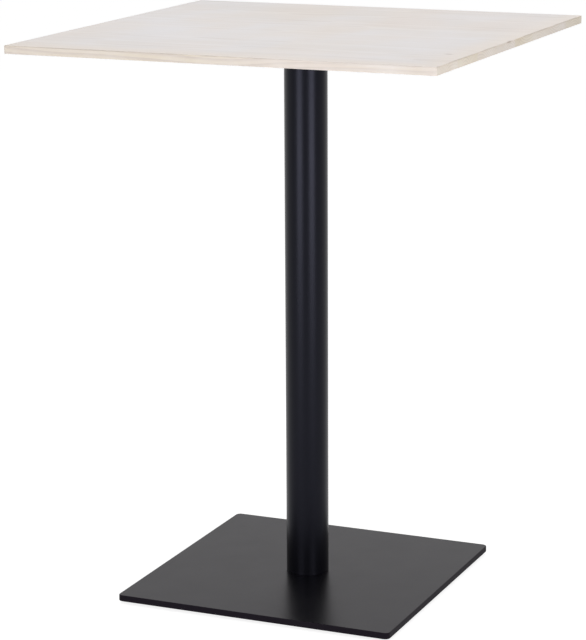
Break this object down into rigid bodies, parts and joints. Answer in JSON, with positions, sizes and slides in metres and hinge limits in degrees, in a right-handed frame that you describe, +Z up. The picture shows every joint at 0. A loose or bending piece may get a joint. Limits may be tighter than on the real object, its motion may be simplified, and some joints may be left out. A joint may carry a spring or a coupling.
{
  "type": "square pedestal table",
  "caption": "Bar-height pedestal table: a thin square whitewashed wooden top on a round black steel column, standing on a square black steel plate with levelling feet.",
  "frame": {"origin": "on the floor under the middle of the column, with the levelling feet wound right in", "axes": "+Z up along the column, -Y to the front, +X along the grain of the top"},
  "size_m": [0.8, 0.8, 1.05],
  "materials": {
    "whitewashed_wood": "whitewashed solid wood, matte lacquer",
    "black_powder_coat": "fine satin powder coat",
    "plain_steel": "bare machined steel",
    "zinc_steel": "bright zinc plate",
    "insert_brass": "turned brass",
    "black_nylon": "moulded nylon"
  },
  "bodies": {
    "table": {"tabletop_stave_1": "whitewashed_wood", "tabletop_stave_2": "whitewashed_wood", "tabletop_stave_3": "whitewashed_wood", "tabletop_stave_4": "whitewashed_wood", "tabletop_stave_5": "whitewashed_wood", "tabletop_stave_6": "whitewashed_wood", "tabletop_stave_7": "whitewashed_wood", "tabletop_stave_8": "whitewashed_wood", "mount_plate": "black_powder_coat", "batten_left": "black_powder_coat", "batten_right": "black_powder_coat", "column_tube": "black_powder_coat", "base_plate": "black_powder_coat", "column_foot_disc": "plain_steel", "threaded_inserts": "insert_brass", "mount_washers": "zinc_steel", "mount_bolts": "zinc_steel", "batten_screws": "zinc_steel", "base_screws": "zinc_steel"},
    "front_left_foot_pad": {"foot_pad_front_left": "black_nylon"},
    "front_left_foot_stud": {"foot_stud_front_left": "zinc_steel"},
    "front_right_foot_pad": {"foot_pad_front_right": "black_nylon"},
    "front_right_foot_stud": {"foot_stud_front_right": "zinc_steel"},
    "back_left_foot_pad": {"foot_pad_back_left": "black_nylon"},
    "back_left_foot_stud": {"foot_stud_back_left": "zinc_steel"},
    "back_right_foot_pad": {"foot_pad_back_right": "black_nylon"},
    "back_right_foot_stud": {"foot_stud_back_right": "zinc_steel"}
  },
  "joints": [
    {"name": "front_left_foot_height", "type": "slide", "parent": "table", "child": "front_left_foot_pad", "axis": [0, 0, -1], "range_m": [0, 0.004]},
    {"name": "front_left_foot_turn", "type": "hinge", "parent": "front_left_foot_pad", "child": "front_left_foot_stud", "pos_m": [-0.228, -0.228, 0.006], "axis": [0, 0, -1], "range_deg": [0, 1153]},
    {"name": "front_right_foot_height", "type": "slide", "parent": "table", "child": "front_right_foot_pad", "axis": [0, 0, -1], "range_m": [0, 0.004]},
    {"name": "front_right_foot_turn", "type": "hinge", "parent": "front_right_foot_pad", "child": "front_right_foot_stud", "pos_m": [0.228, -0.228, 0.006], "axis": [0, 0, -1], "range_deg": [0, 1153]},
    {"name": "back_left_foot_height", "type": "slide", "parent": "table", "child": "back_left_foot_pad", "axis": [0, 0, -1], "range_m": [0, 0.004]},
    {"name": "back_left_foot_turn", "type": "hinge", "parent": "back_left_foot_pad", "child": "back_left_foot_stud", "pos_m": [-0.228, 0.228, 0.006], "axis": [0, 0, -1], "range_deg": [0, 1153]},
    {"name": "back_right_foot_height", "type": "slide", "parent": "table", "child": "back_right_foot_pad", "axis": [0, 0, -1], "range_m": [0, 0.004]},
    {"name": "back_right_foot_turn", "type": "hinge", "parent": "back_right_foot_pad", "child": "back_right_foot_stud", "pos_m": [0.228, 0.228, 0.006], "axis": [0, 0, -1], "range_deg": [0, 1153]}
  ],
  "couplings": [
    {"joint": "front_left_foot_turn", "follows": "front_left_foot_height", "rad_per_m": 5026.5},
    {"joint": "front_right_foot_turn", "follows": "front_right_foot_height", "rad_per_m": 5026.5},
    {"joint": "back_left_foot_turn", "follows": "back_left_foot_height", "rad_per_m": 5026.5},
    {"joint": "back_right_foot_turn", "follows": "back_right_foot_height", "rad_per_m": 5026.5}
  ]
}
